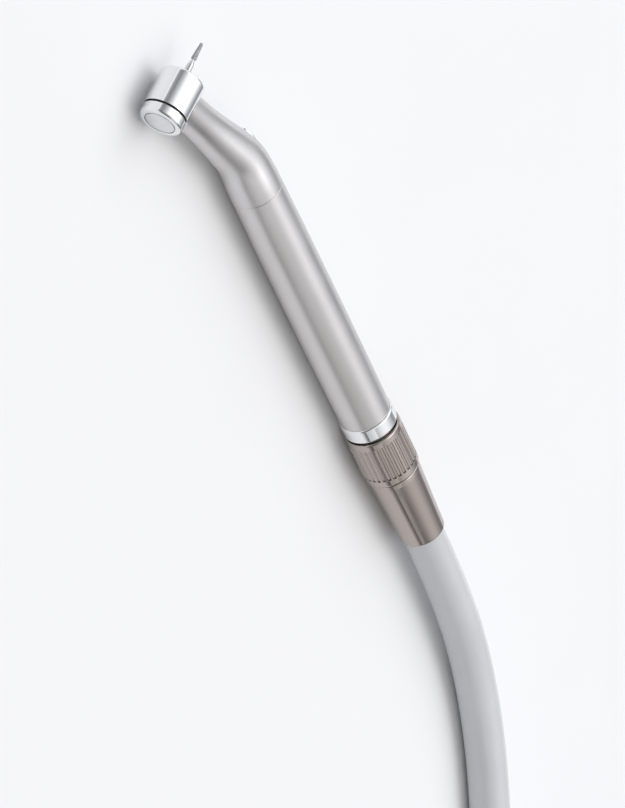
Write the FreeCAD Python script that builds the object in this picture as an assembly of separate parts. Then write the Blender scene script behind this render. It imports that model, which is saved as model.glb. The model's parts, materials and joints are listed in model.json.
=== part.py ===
"""A high speed dental handpiece: an air turbine in a small head, on a bent hollow handle, with its hose.

Millimetres. The handpiece lies on its side on a table at z = 0. +X runs forward along the handle,
the bur points to -Y and the push button to +Y. The origin is on the table, under the middle of
the handpiece's own box, without its hose.

Three local frames carry the pieces, each with its +Z along the piece's axis, its +X straight down
and its +Y in the plane of the bend: HANDLE from the handle's rear face forward, NECK from the bend
towards the head, and HEAD from the middle of the turbine towards the bur's tip.
"""
import FreeCAD, Part
import math
import os

from FreeCAD import Placement, Rotation, Vector

# Where the handpiece lies: on its nut, with the head just clear of the table
HANDLE_REAR_X = -44.22
HANDLE_AXIS_Y = -5.961
AXIS_HEIGHT = 7.0

# The line of handle, neck and head
HANDLE_LENGTH = 88.0
NECK_LENGTH = 32.0
NECK_BEND = 20.0
HEAD_LEAN = -80.0

# Handle
SLEEVE_START = 4.0
SLEEVE_END = 78.0
SLEEVE_REAR_RADIUS = 6.4
SLEEVE_MIDDLE_RADIUS = 6.6
SLEEVE_FRONT_RADIUS = 6.45
SLEEVE_BORE = 5.6
SEAM_CHAMFER = 0.18
COLLAR_RADIUS = 6.75
RIM_ROUND = 0.45

# Neck: it leaves the sleeve at the sleeve's own radius, turns on an arc, and thins towards the head
NECK_WALL = 0.9
NECK_THIN_RADIUS = 4.5
NECK_TAPER_LENGTH = 32.0
BEND_ARC = 19.0
NECK_LEAD = 8.0
NECK_END = 30.0
NECK_SECTIONS = 24
FACET_DISTANCE = 5.3
FACET_SETBACK = 1.6
FACET_REACH = 10.0
PLATE_LENGTH = 6.4
PLATE_WIDTH = 3.6
PLATE_RISE = 0.3
PLATE_SEAT = 0.2
PLATE_EDGE_ROUND = 0.12

# Head: heights are along its axis, from the middle of the turbine towards the bur
HEAD_RADIUS = 5.6
HEAD_REAR = -4.2
HEAD_FRONT = 5.8
HEAD_EDGE_ROUND = 0.9
CHAMBER_RADIUS = 4.65
CHAMBER_FRONT = 2.3
BEARING_SEAT = 3.6
SEAT_FRONT = 5.05
NOSE_HOLE = 2.2
CAP_RADIUS = 5.4
CAP_FRONT = -4.7
CAP_REAR = -7.2
CAP_NECK_RADIUS = 4.9
CAP_SKIRT_RADIUS = 4.6
CAP_SKIRT_FRONT = -1.4
CAP_RING_THICKNESS = 0.4
CAP_EDGE_ROUND = 0.85
BUTTON_RADIUS = 3.75
BUTTON_DOME = 0.75
BUTTON_FLANGE = 4.2
BUTTON_BOSS = 0.8
BUTTON_GAP = 0.2
POCKET_RADIUS = 4.5
POCKET_FLOOR = -5.3
RETAINER_THICKNESS = 0.6
FLANGE_THICKNESS = 0.4
BOSS_END = -5.75
SPRING_THICKNESS = 0.22
SPRING_INNER = 1.8
SPRING_NOTCHES = 9
SPRING_NOTCH_RADIUS = 0.35
SPRAY_INNER = 2.9
SPRAY_OUTER = 4.5
SPRAY_DEPTH = 0.4
SPRAY_HOLES = 3
SPRAY_HOLE_RADIUS = 0.25

# Turbine
SPINDLE_RADIUS = 1.5875
SPINDLE_BORE = 1.27
SPINDLE_REAR = -4.75
SPINDLE_NOSE = 6.15
IMPELLER_RADIUS = 4.25
IMPELLER_REAR = -1.15
IMPELLER_FRONT = 1.95
IMPELLER_BUCKETS = 12
BUCKET_RADIUS = 0.85
BUCKET_INSET = 0.25
BUCKET_WEB = 0.3
BEARING_RADIUS = 3.175
FRONT_BEARING = (2.55, 4.93)
REAR_BEARING = (-4.38, -1.6)
INNER_RACE_RADIUS = 2.08
OUTER_RACE_BORE = 2.68
BALL_COUNT = 7
BALL_RADIUS = 0.5
BALL_PITCH = 2.381
GROOVE_RADIUS = 0.53
CAGE_INNER = 2.2
CAGE_OUTER = 2.56
CAGE_HALF_WIDTH = 0.8
WASHER_SPAN = (-4.85, -4.55)
WASHER_RADII = (2.2, 3.1)
WASHER_THICKNESS = 0.12
CHUCK_REAR = -2.6
CHUCK_FRONT = 5.9
CHUCK_RADIUS = 1.24
CHUCK_BORE = 0.84
CHUCK_SLITS = 4
SLIT_WIDTH = 0.2
SLIT_LENGTH = 5.5
SLIT_START_RADIUS = 0.4
PLUNGER_RADIUS = 0.8
PLUNGER_REAR = -5.55
PLUNGER_FRONT = -3.75
PLUNGER_HOLE = 1.0

# Bur
BUR_SHANK_RADIUS = 0.8
BUR_REAR = -3.1
BUR_CHAMFER = (0.15, 0.3)
BUR_SHOULDER = 0.3
BUR_NECK_START = 9.6
BUR_NECK_END = 11.0
BUR_NECK_RADIUS = 0.45
BUR_TIP = 15.9
BUR_HEAD_RADIUS = 0.7
BUR_TIP_RADIUS = 0.42

# Tubes through handle and neck
DRIVE_TUBE = (1.2, 0.95)
SMALL_TUBE = (0.6, 0.4)
SMALL_TUBE_OFFSET = 2.9
DRIVE_TUBE_OFFSET = 2.4
TUBE_BEND_START = 12.0
TUBE_NECK_POINT = 8.0
TUBE_NECK_SHARES = (0.93, 0.5)
TUBE_HEAD_SHARES = (0.84, 0.0)
TUBE_HEAD_GAP = 0.75

# Four-hole back end, counted from the handle's rear face. A port is its place (x, y) and radius
BACK_END_RADIUS = 5.55
BACK_END_FRONT = 14.0
BACK_END_FACE = -9.0
BACK_END_CHAMFER = 0.4
THREAD_START = -0.5
THREAD_PITCH = 0.75
THREAD_DEPTH = 0.25
SEAL_GROOVE = (8.6, 9.8)
SEAL_GROOVE_DEPTH = 0.7
SEAL_THICKNESS = 0.7
SEAL_GAP = 0.01
GASKET_THICKNESS = 1.4
PIPE_FRONT = 5.0
PIPE_REAR = -15.5
PIPE_WALL = 0.2
PORTS = {
    "drive": (0.0, 2.6, 1.1),
    "exhaust": (0.0, -2.4, 1.45),
    "water": (2.9, 0.0, 0.75),
    "air": (-2.9, 0.0, 0.75),
}
PORT_CLEARANCE = 0.03

# Hose end: the terminal, the nut that turns on it, and the tail sleeve
TERMINAL_FLANGE_RADIUS = 5.45
TERMINAL_FLANGE_REAR = -12.4
TERMINAL_RADIUS = 4.8
TERMINAL_REAR = -30.0
NUT_RADIUS = 7.0
NUT_BORE = 5.63
NUT_FRONT = -0.6
NUT_LIP_FRONT = -12.55
NUT_REAR = -14.6
NUT_LIP_BORE = 4.9
NUT_FLUTES = 32
NUT_FLUTE_RADIUS = 0.45
NUT_FLUTE_INSET = 0.12
NUT_FLUTE_MARGIN = 1.9
TAIL_FRONT = -14.8
TAIL_SHOULDER = -16.2
TAIL_REAR = -36.0
TAIL_FRONT_RADIUS = 6.6
TAIL_REAR_RADIUS = 5.7
TAIL_BORE = 4.83
TAIL_MOUTH = 5.06
TAIL_EDGE_ROUND = 0.3

# Hose, from the terminal's rear face, along the table, to the hank
HOSE_RADIUS = 5.0
HOSE_START_X = HANDLE_REAR_X + TERMINAL_REAR
ARC_SHARE = 0.45
HOSE_ROUTE = [
    (HOSE_START_X, HANDLE_AXIS_Y, AXIS_HEIGHT),
    (-103, HANDLE_AXIS_Y, AXIS_HEIGHT),
    (-133, -0.7, 5.4),
    (-161, 12.5, 5),
    (-187, 31, 5),
    (-212, 46, 5),
    (-238, 53, 5),
    (-264, 53.6, 5),
]

# Hank: the rest of the hose, wound in long loops on top of each other beside where the tube ends
HANK_START_X = -250.0
HANK_RUN = 120.0
HANK_LOOP_RADIUS = 30.0
HANK_OUTER_Y = 53.6
HANK_TURNS = 3
TIE_WIDTH = 16.0
TIE_THICKNESS = 1.2
TIE_PLACE_X = -348.0

# Far end: the coupling that plugs into the supply, lying on the hank
FAR_END_X = -275.0
FAR_END_RADIUS = 8.0
FERRULE_LENGTH = 12.0
FERRULE_RADIUS = 6.2
CONNECTOR_LENGTH = 26.0
SPIGOT_RADIUS = 6.0
SPIGOT_LENGTH = 9.0
SPIGOT_GROOVE_WIDTH = 1.4
SPIGOT_GROOVE_DEPTH = 0.9
SPIGOT_RING_THICKNESS = 0.84
SPIGOT_RING_SINK = 0.48
FERRULE_EDGE_ROUND = 0.4

HANDLE = Placement(Vector(HANDLE_REAR_X, HANDLE_AXIS_Y, AXIS_HEIGHT), Rotation(Vector(0, 1, 0), 90))
NECK = HANDLE * Placement(Vector(0, 0, HANDLE_LENGTH), Rotation(Vector(1, 0, 0), -NECK_BEND))
HEAD = NECK * Placement(Vector(0, 0, NECK_LENGTH), Rotation(Vector(1, 0, 0), NECK_BEND - HEAD_LEAN))


# Making shapes
def turned(outline):
    """A solid of revolution about Z from its (radius, height) corners."""
    points = [Vector(radius, 0, height) for radius, height in outline]
    face = Part.Face(Part.makePolygon(points + points[:1]))
    return face.revolve(Vector(0, 0, 0), Vector(0, 0, 1), 360)


def ring(inner, outer, low, high):
    """A plain ring about Z."""
    return turned([(inner, low), (outer, low), (outer, high), (inner, high)])


def rod(radius, low, high, x=0.0, y=0.0):
    """A round bar along Z."""
    return Part.makeCylinder(radius, high - low, Vector(x, y, low))


def seal_ring(middle_radius, thickness, height):
    """An O-ring about Z."""
    return Part.makeTorus(middle_radius, thickness / 2, Vector(0, 0, height), Vector(0, 0, 1))


def rounded(solid, size, rims):
    """The solid with its circular rims, given as (radius, height), rounded off."""
    edges = []
    for edge in solid.Edges:
        if not isinstance(edge.Curve, Part.Circle):
            continue
        for radius, height in rims:
            if abs(edge.Curve.Radius - radius) < 1e-3 and abs(edge.Curve.Center.z - height) < 1e-3:
                edges.append(edge)
    return solid.makeFillet(size, edges)


def around(shape, count):
    """Copies of a shape, evenly spaced about Z."""
    copies = []
    for number in range(count):
        copy = shape.copy()
        copy.rotate(Vector(0, 0, 0), Vector(0, 0, 1), 360 * number / count)
        copies.append(copy)
    return copies


def placed(shape, frame):
    """The shape moved from a local frame to where it lies."""
    moved = shape.copy()
    moved.Placement = frame * moved.Placement
    return moved


def bent_path(points):
    """Straight runs joined by tangent arcs, each as large as its two runs allow."""
    points = [Vector(*point) for point in points]
    edges = []
    start = points[0]
    for before, corner, after in zip(points, points[1:], points[2:]):
        inward = (corner - before).normalize()
        outward = (after - corner).normalize()
        reach = ARC_SHARE * min((corner - before).Length, (after - corner).Length)
        turn = inward.getAngle(outward)
        radius = reach / math.tan(turn / 2)
        entry = corner - inward * reach
        leave = corner + outward * reach
        to_centre = (outward - inward).normalize()
        centre = corner + to_centre * (radius / math.cos(turn / 2))
        edges.append(Part.LineSegment(start, entry).toShape())
        edges.append(Part.Arc(entry, centre - to_centre * radius, leave).toShape())
        start = leave
    edges.append(Part.LineSegment(start, points[-1]).toShape())
    return Part.Wire(edges)


def swept(path, radius):
    """A round bar along a path."""
    start = path.Edges[0]
    first = start.valueAt(start.FirstParameter)
    direction = start.tangentAt(start.FirstParameter)
    section = Part.Wire(Part.makeCircle(radius, first, direction))
    return path.makePipeShell([section], True, False)


# Head
def head_outline(rear):
    """The head's outside, from a height at its back to its rounded front edge."""
    return rounded(rod(HEAD_RADIUS, rear, HEAD_FRONT), HEAD_EDGE_ROUND, [(HEAD_RADIUS, HEAD_FRONT)])


def head_housing():
    """The polished cylinder round the turbine, open at the back, with a hole for the spindle's nose."""
    body = head_outline(HEAD_REAR)
    chamber = rod(CHAMBER_RADIUS, HEAD_REAR, CHAMBER_FRONT)
    seat = rod(BEARING_SEAT, CHAMBER_FRONT, SEAT_FRONT)
    nose = rod(NOSE_HOLE, SEAT_FRONT, HEAD_FRONT)
    recess = ring(SPRAY_INNER, SPRAY_OUTER, HEAD_FRONT - SPRAY_DEPTH, HEAD_FRONT)
    body = placed(body.cut(chamber).cut(seat).cut(nose).cut(recess), HEAD)
    for tube in (drive_air_tube, water_tube, chip_air_tube):
        body = body.cut(tube(drilling=True))
    return body


def head_cap():
    """The screwed cap: a domed rim, a pocket for the button, and a skirt that holds the rear bearing."""
    body = turned([
        (PLUNGER_HOLE, POCKET_FLOOR),
        (POCKET_RADIUS, POCKET_FLOOR),
        (POCKET_RADIUS, CAP_REAR),
        (CAP_RADIUS, CAP_REAR),
        (CAP_RADIUS, CAP_FRONT),
        (CAP_NECK_RADIUS, CAP_FRONT),
        (CAP_NECK_RADIUS, HEAD_REAR),
        (CAP_SKIRT_RADIUS, HEAD_REAR),
        (CAP_SKIRT_RADIUS, CAP_SKIRT_FRONT),
        (BEARING_SEAT, CAP_SKIRT_FRONT),
        (BEARING_SEAT, WASHER_SPAN[0]),
        (PLUNGER_HOLE, WASHER_SPAN[0]),
    ])
    body = rounded(body, CAP_EDGE_ROUND, [(CAP_RADIUS, CAP_REAR)])
    return placed(body, HEAD)


def cap_o_ring():
    """The dark ring in the groove between cap and housing."""
    middle = (CAP_FRONT + HEAD_REAR) / 2
    ring_radius = CAP_NECK_RADIUS + CAP_RING_THICKNESS / 2
    return placed(seal_ring(ring_radius, CAP_RING_THICKNESS, middle), HEAD)


def push_button():
    """A domed disc with a flange under the retainer and a boss that meets the plunger."""
    flange_rear = CAP_REAR + RETAINER_THICKNESS
    flange_front = flange_rear + FLANGE_THICKNESS
    dome_radius = (BUTTON_RADIUS ** 2 + BUTTON_DOME ** 2) / (2 * BUTTON_DOME)
    dome = Part.makeSphere(dome_radius, Vector(0, 0, CAP_REAR - BUTTON_DOME + dome_radius))
    disc = rod(BUTTON_RADIUS, CAP_REAR - BUTTON_DOME, flange_rear).common(dome)
    flange = rod(BUTTON_FLANGE, flange_rear, flange_front)
    boss = rod(BUTTON_BOSS, flange_front, BOSS_END)
    return placed(disc.fuse(flange).fuse(boss).removeSplitter(), HEAD)


def button_retainer():
    """The ring screwed into the cap's rim, over the button's flange."""
    inner = BUTTON_RADIUS + BUTTON_GAP
    return placed(ring(inner, POCKET_RADIUS, CAP_REAR, CAP_REAR + RETAINER_THICKNESS), HEAD)


def button_spring():
    """A flat wave spring in the bottom of the cap's pocket, drawn at its pressed height."""
    rear = POCKET_FLOOR - SPRING_THICKNESS
    body = ring(SPRING_INNER, BUTTON_RADIUS, rear, POCKET_FLOOR)
    slot = rod(SPRING_NOTCH_RADIUS, rear, POCKET_FLOOR, 0.0, BUTTON_RADIUS)
    for notch in around(slot, SPRING_NOTCHES):
        body = body.cut(notch)
    return placed(body, HEAD)


def spray_ring():
    """The ring in the head's front face, with its outlets for water and air."""
    body = ring(SPRAY_INNER, SPRAY_OUTER, HEAD_FRONT - SPRAY_DEPTH, HEAD_FRONT)
    middle_radius = (SPRAY_INNER + SPRAY_OUTER) / 2
    outlet = rod(SPRAY_HOLE_RADIUS, HEAD_FRONT - 2 * SPRAY_DEPTH, HEAD_FRONT, 0, middle_radius)
    for hole in around(outlet, SPRAY_HOLES):
        body = body.cut(hole)
    return placed(body, HEAD)


# Turbine
def ball_groove(span):
    """The round groove that a bearing's balls run in."""
    return seal_ring(BALL_PITCH, 2 * GROOVE_RADIUS, sum(span) / 2)


def inner_race(span):
    """A bearing's inner ring, on the spindle."""
    return placed(ring(SPINDLE_RADIUS, INNER_RACE_RADIUS, *span).cut(ball_groove(span)), HEAD)


def outer_race(span):
    """A bearing's outer ring."""
    return placed(ring(OUTER_RACE_BORE, BEARING_RADIUS, *span).cut(ball_groove(span)), HEAD)


def balls(span):
    """A bearing's balls."""
    ball = Part.makeSphere(BALL_RADIUS, Vector(BALL_PITCH, 0, sum(span) / 2))
    return placed(Part.makeCompound(around(ball, BALL_COUNT)), HEAD)


def cage(span):
    """The ring that keeps a bearing's balls apart."""
    middle = sum(span) / 2
    body = ring(CAGE_INNER, CAGE_OUTER, middle - CAGE_HALF_WIDTH, middle + CAGE_HALF_WIDTH)
    body.rotate(Vector(0, 0, 0), Vector(0, 0, 1), 180 / BALL_COUNT)
    depth = 2 * BALL_RADIUS
    start = Vector(BALL_PITCH - BALL_RADIUS, 0, middle)
    pocket = Part.makeCylinder(GROOVE_RADIUS, depth, start, Vector(1, 0, 0))
    for hole in around(pocket, BALL_COUNT):
        body = body.cut(hole)
    return placed(body, HEAD)


def bearing_o_ring(span):
    """The rubber ring that a bearing hangs in."""
    thickness = BEARING_SEAT - BEARING_RADIUS
    return placed(seal_ring((BEARING_SEAT + BEARING_RADIUS) / 2, thickness, sum(span) / 2), HEAD)


def wave_washer():
    """The dished spring washer that loads the two bearings."""
    rear, front = WASHER_SPAN
    inner, outer = WASHER_RADII
    body = turned([
        (inner, rear),
        (outer, front - WASHER_THICKNESS),
        (outer, front),
        (inner, rear + WASHER_THICKNESS),
    ])
    return placed(body, HEAD)


def rotor_spindle():
    """The hollow shaft that carries the turbine wheel and holds the chuck."""
    return placed(ring(SPINDLE_BORE, SPINDLE_RADIUS, SPINDLE_REAR, SPINDLE_NOSE), HEAD)


def impeller():
    """The turbine wheel, with a bucket for each blade cut into its rim."""
    body = ring(SPINDLE_RADIUS, IMPELLER_RADIUS, IMPELLER_REAR, IMPELLER_FRONT)
    bucket = rod(BUCKET_RADIUS, IMPELLER_REAR + BUCKET_WEB, IMPELLER_FRONT, IMPELLER_RADIUS - BUCKET_INSET, 0)
    for cut in around(bucket, IMPELLER_BUCKETS):
        body = body.cut(cut)
    return placed(body, HEAD)


def chuck():
    """The slit collet that grips the bur's shank."""
    body = ring(CHUCK_BORE, CHUCK_RADIUS, CHUCK_REAR, CHUCK_FRONT)
    corner = Vector(SLIT_START_RADIUS, -SLIT_WIDTH / 2, CHUCK_REAR)
    slit = Part.makeBox(CHUCK_RADIUS, SLIT_WIDTH, SLIT_LENGTH, corner)
    for cut in around(slit, CHUCK_SLITS):
        body = body.cut(cut)
    return placed(body, HEAD)


def chuck_plunger():
    """The rod between button and chuck."""
    return placed(rod(PLUNGER_RADIUS, PLUNGER_REAR, PLUNGER_FRONT), HEAD)


# Bur
def bur_shank():
    """The plain shank, necked down in front of the cutting head."""
    inset, length = BUR_CHAMFER
    body = turned([
        (0, BUR_REAR),
        (BUR_SHANK_RADIUS - inset, BUR_REAR),
        (BUR_SHANK_RADIUS, BUR_REAR + length),
        (BUR_SHANK_RADIUS, BUR_NECK_START),
        (BUR_NECK_RADIUS, BUR_NECK_END),
        (0, BUR_NECK_END),
    ])
    return placed(body, HEAD)


def bur_cutting_head():
    """The coated, slightly tapered end with a round tip."""
    tip_centre = BUR_TIP - BUR_TIP_RADIUS
    body = turned([
        (0, BUR_NECK_END),
        (BUR_NECK_RADIUS, BUR_NECK_END),
        (BUR_HEAD_RADIUS, BUR_NECK_END + BUR_SHOULDER),
        (BUR_TIP_RADIUS, tip_centre),
        (0, tip_centre),
    ])
    tip = Part.makeSphere(BUR_TIP_RADIUS, Vector(0, 0, tip_centre))
    return placed(body.fuse(tip).removeSplitter(), HEAD)


# Neck and handle
def eased(share):
    """Goes from 0 to 1 with a level start and end, and stays level beyond them."""
    share = min(max(share, 0.0), 1.0)
    return share * share * (3 - 2 * share)


def neck_loft(inset):
    """The bent, tapering outline of the neck, from inside the sleeve, made smaller by an inset."""
    reach = BEND_ARC * math.tan(math.radians(NECK_BEND / 2))
    before_arc = HANDLE_LENGTH - reach - SLEEVE_END
    length = NECK_LEAD + before_arc + BEND_ARC * math.radians(NECK_BEND) + NECK_END - reach
    sections = []
    for number in range(NECK_SECTIONS + 1):
        distance = length * number / NECK_SECTIONS - NECK_LEAD
        angle = min(max((distance - before_arc) / BEND_ARC, 0), math.radians(NECK_BEND))
        beyond = distance - before_arc - BEND_ARC * angle
        across = BEND_ARC * (1 - math.cos(angle)) + beyond * math.sin(angle)
        forward = BEND_ARC * math.sin(angle) + beyond * math.cos(angle)
        place = Vector(0, across, HANDLE_LENGTH - reach + forward)
        thinning = (SLEEVE_FRONT_RADIUS - NECK_THIN_RADIUS) * eased(distance / NECK_TAPER_LENGTH)
        circle = Part.makeCircle(SLEEVE_FRONT_RADIUS - thinning - inset)
        turn = Rotation(Vector(1, 0, 0), -math.degrees(angle))
        sections.append(Part.Wire(placed(circle, HANDLE * Placement(place, turn))))
    return Part.makeLoft(sections, True)


def facet_frame():
    """The flat at the outer corner of the bend: +Z points out of it, and +Y runs along it."""
    corner = NECK * Placement(Vector(0, 0, 0), Rotation(Vector(1, 0, 0), NECK_BEND / 2))
    outward = Placement(Vector(0, -FACET_DISTANCE, FACET_SETBACK), Rotation(Vector(1, 0, 0), 90))
    return corner * outward


def oval(length, width, low, high):
    """A flat oval along Y."""
    curve = Part.Ellipse(Vector(0, length / 2, low), Vector(width / 2, 0, low), Vector(0, 0, low))
    return Part.Face(Part.Wire(curve.toShape())).extrude(Vector(0, 0, high - low))


def neck_shell():
    """The satin shell from handle to head, with a flat at the outer corner of its bend."""
    side = 2 * FACET_REACH
    flat = placed(Part.makeBox(side, side, FACET_REACH, Vector(-FACET_REACH, -FACET_REACH, 0)), facet_frame())
    seat = placed(oval(PLATE_LENGTH, PLATE_WIDTH, -PLATE_SEAT, 1.0), facet_frame())
    head = placed(head_outline(-2 * HEAD_RADIUS), HEAD)
    lead = placed(rod(2 * SLEEVE_FRONT_RADIUS, SLEEVE_END - 2 * NECK_LEAD, SLEEVE_END), HANDLE)
    return neck_loft(0).cut(flat).cut(seat).cut(neck_loft(NECK_WALL)).cut(head).cut(lead)


def bend_plate():
    """The small polished oval plate on the flat."""
    body = oval(PLATE_LENGTH, PLATE_WIDTH, -PLATE_SEAT, PLATE_RISE)
    rim = [edge for edge in body.Edges if edge.BoundBox.ZMin > PLATE_RISE / 2]
    return placed(body.makeFillet(PLATE_EDGE_ROUND, rim), facet_frame())


def handle_sleeve():
    """The grip: a tube that swells very slightly towards its middle."""
    middle = (SLEEVE_START + SLEEVE_END) / 2
    corners = [
        Vector(SLEEVE_FRONT_RADIUS, 0, SLEEVE_END - SEAM_CHAMFER),
        Vector(SLEEVE_FRONT_RADIUS - SEAM_CHAMFER, 0, SLEEVE_END),
        Vector(SLEEVE_BORE, 0, SLEEVE_END),
        Vector(SLEEVE_BORE, 0, SLEEVE_START),
        Vector(SLEEVE_REAR_RADIUS, 0, SLEEVE_START),
    ]
    edges = [Part.LineSegment(*pair).toShape() for pair in zip(corners, corners[1:])]
    edges.append(Part.Arc(corners[-1], Vector(SLEEVE_MIDDLE_RADIUS, 0, middle), corners[0]).toShape())
    return placed(Part.Face(Part.Wire(edges)).revolve(Vector(0, 0, 0), Vector(0, 0, 1), 360), HANDLE)


def rear_collar():
    """The bright rim behind the grip."""
    body = ring(SLEEVE_BORE, COLLAR_RADIUS, 0, SLEEVE_START)
    rims = [(COLLAR_RADIUS, 0), (COLLAR_RADIUS, SLEEVE_START)]
    return placed(rounded(body, RIM_ROUND, rims), HANDLE)


def inner_tube(section, offset, down, drilling):
    """A tube from the back end to the head, or the hole that it needs in the head's wall.

    offset is its distance from the axis in the plane of the bend, and down its distance across it.
    """
    points = []
    for height in (BACK_END_FRONT, HANDLE_LENGTH - TUBE_BEND_START):
        points.append(HANDLE.multVec(Vector(down, offset, height)))
    head_wall = NECK_LENGTH - HEAD_RADIUS + TUBE_HEAD_GAP
    for shares, height in ((TUBE_NECK_SHARES, TUBE_NECK_POINT), (TUBE_HEAD_SHARES, head_wall)):
        points.append(NECK.multVec(Vector(shares[0] * down, shares[1] * offset, height)))
    path = bent_path(points)
    outer, inner = section
    if drilling:
        return swept(path, outer + PORT_CLEARANCE)
    return swept(path, outer).cut(swept(path, inner))


def drive_air_tube(drilling=False):
    """Brings the air that drives the turbine."""
    return inner_tube(DRIVE_TUBE, DRIVE_TUBE_OFFSET, 0, drilling)


def water_tube(drilling=False):
    """Brings the spray's water."""
    return inner_tube(SMALL_TUBE, 0, SMALL_TUBE_OFFSET, drilling)


def chip_air_tube(drilling=False):
    """Brings the spray's air."""
    return inner_tube(SMALL_TUBE, 0, -SMALL_TUBE_OFFSET, drilling)


# Back end and hose end
def ports(extra, low, high):
    """The four ports as bars, each wider than its pipe by extra."""
    return [rod(radius + extra, low, high, x, y) for x, y, radius in PORTS.values()]


def back_end_body():
    """The threaded back end, with its four ports and a groove for the sealing ring."""
    low, high = SEAL_GROOVE
    floor = BACK_END_RADIUS - SEAL_GROOVE_DEPTH
    outline = [(0, BACK_END_FRONT), (BACK_END_RADIUS, BACK_END_FRONT)]
    outline += [(BACK_END_RADIUS, high), (floor, high), (floor, low), (BACK_END_RADIUS, low)]
    crest = THREAD_START
    outline.append((BACK_END_RADIUS, crest))
    while crest - 2 * THREAD_PITCH > BACK_END_FACE:
        outline.append((BACK_END_RADIUS - THREAD_DEPTH, crest - THREAD_PITCH / 2))
        crest -= THREAD_PITCH
        outline.append((BACK_END_RADIUS, crest))
    outline += [(BACK_END_RADIUS - BACK_END_CHAMFER, BACK_END_FACE), (0, BACK_END_FACE)]
    body = turned(outline)
    for hole in ports(PORT_CLEARANCE, BACK_END_FACE, BACK_END_FRONT):
        body = body.cut(hole)
    return placed(body, HANDLE)


def handle_o_ring():
    """The seal between back end and grip."""
    middle_radius = SLEEVE_BORE - SEAL_GAP - SEAL_THICKNESS / 2
    return placed(seal_ring(middle_radius, SEAL_THICKNESS, sum(SEAL_GROOVE) / 2), HANDLE)


def port_pipes():
    """The four pipes that stand out of the back end."""
    outer = ports(0, PIPE_REAR, PIPE_FRONT)
    inner = ports(-PIPE_WALL, PIPE_REAR, PIPE_FRONT)
    pipes = [bar.cut(hole) for bar, hole in zip(outer, inner)]
    return placed(Part.makeCompound(pipes), HANDLE)


def connector_gasket():
    """The rubber disc between back end and hose."""
    body = rod(BACK_END_RADIUS - BACK_END_CHAMFER, BACK_END_FACE - GASKET_THICKNESS, BACK_END_FACE)
    for hole in ports(0, BACK_END_FACE - GASKET_THICKNESS, BACK_END_FACE):
        body = body.cut(hole)
    return placed(body, HANDLE)


def hose_terminal():
    """The hose's metal end: a flange that the nut pulls on, and four sockets."""
    front = BACK_END_FACE - GASKET_THICKNESS
    body = turned([
        (0, front),
        (TERMINAL_FLANGE_RADIUS, front),
        (TERMINAL_FLANGE_RADIUS, TERMINAL_FLANGE_REAR),
        (TERMINAL_RADIUS, TERMINAL_FLANGE_REAR),
        (TERMINAL_RADIUS, TERMINAL_REAR),
        (0, TERMINAL_REAR),
    ])
    for hole in ports(PORT_CLEARANCE, TERMINAL_REAR, front):
        body = body.cut(hole)
    return placed(body, HANDLE)


def hose_nut():
    """The knurled nut, with an inner lip behind the terminal's flange."""
    body = turned([
        (NUT_BORE, NUT_FRONT),
        (NUT_RADIUS, NUT_FRONT),
        (NUT_RADIUS, NUT_REAR),
        (NUT_LIP_BORE, NUT_REAR),
        (NUT_LIP_BORE, NUT_LIP_FRONT),
        (NUT_BORE, NUT_LIP_FRONT),
    ])
    body = rounded(body, RIM_ROUND, [(NUT_RADIUS, NUT_FRONT), (NUT_RADIUS, NUT_REAR)])
    low = NUT_REAR + NUT_FLUTE_MARGIN
    high = NUT_FRONT - NUT_FLUTE_MARGIN
    flute = rod(NUT_FLUTE_RADIUS, low, high, NUT_RADIUS + NUT_FLUTE_INSET, 0)
    for cut in around(flute, NUT_FLUTES):
        body = body.cut(cut)
    return placed(body, HANDLE)


def hose_tail():
    """The tapered chrome sleeve screwed onto the terminal, with the hose inside its mouth."""
    body = turned([
        (TAIL_BORE, TAIL_FRONT),
        (TAIL_FRONT_RADIUS, TAIL_FRONT),
        (TAIL_FRONT_RADIUS, TAIL_SHOULDER),
        (TAIL_REAR_RADIUS, TAIL_REAR),
        (TAIL_MOUTH, TAIL_REAR),
        (TAIL_MOUTH, TERMINAL_REAR),
        (TAIL_BORE, TERMINAL_REAR),
    ])
    rims = [(TAIL_FRONT_RADIUS, TAIL_FRONT), (TAIL_REAR_RADIUS, TAIL_REAR)]
    return placed(rounded(body, TAIL_EDGE_ROUND, rims), HANDLE)


# Hose
def hose_tube():
    """The hose from the terminal to the hank."""
    path = bent_path(HOSE_ROUTE)
    tube = swept(path, HOSE_RADIUS)
    expected = math.pi * HOSE_RADIUS ** 2 * path.Length
    radii = [round(edge.Curve.Radius, 1) for edge in path.Edges if isinstance(edge.Curve, Part.Circle)]
    print("hose radii", radii, "length", round(path.Length, 1))
    print("hose volume", round(tube.Volume), "section times length", round(expected))
    return tube


def long_loop(radius, low, high):
    """An upright block with straight sides and round ends, on the hank's line."""
    centre_y = HANK_OUTER_Y - HANK_LOOP_RADIUS
    near = Vector(HANK_START_X, centre_y, low)
    far = Vector(HANK_START_X - HANK_RUN, centre_y, low)
    middle = Part.makeBox(HANK_RUN, 2 * radius, high - low, Vector(far.x, centre_y - radius, low))
    ends = [Part.makeCylinder(radius, high - low, centre) for centre in (near, far)]
    return middle.fuse(ends).removeSplitter()


def hose_coil():
    """The outer shape of the hank of hose."""
    height = 2 * HOSE_RADIUS * HANK_TURNS
    outer = long_loop(HANK_LOOP_RADIUS + HOSE_RADIUS, 0, height)
    return outer.cut(long_loop(HANK_LOOP_RADIUS - HOSE_RADIUS, 0, height))


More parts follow.
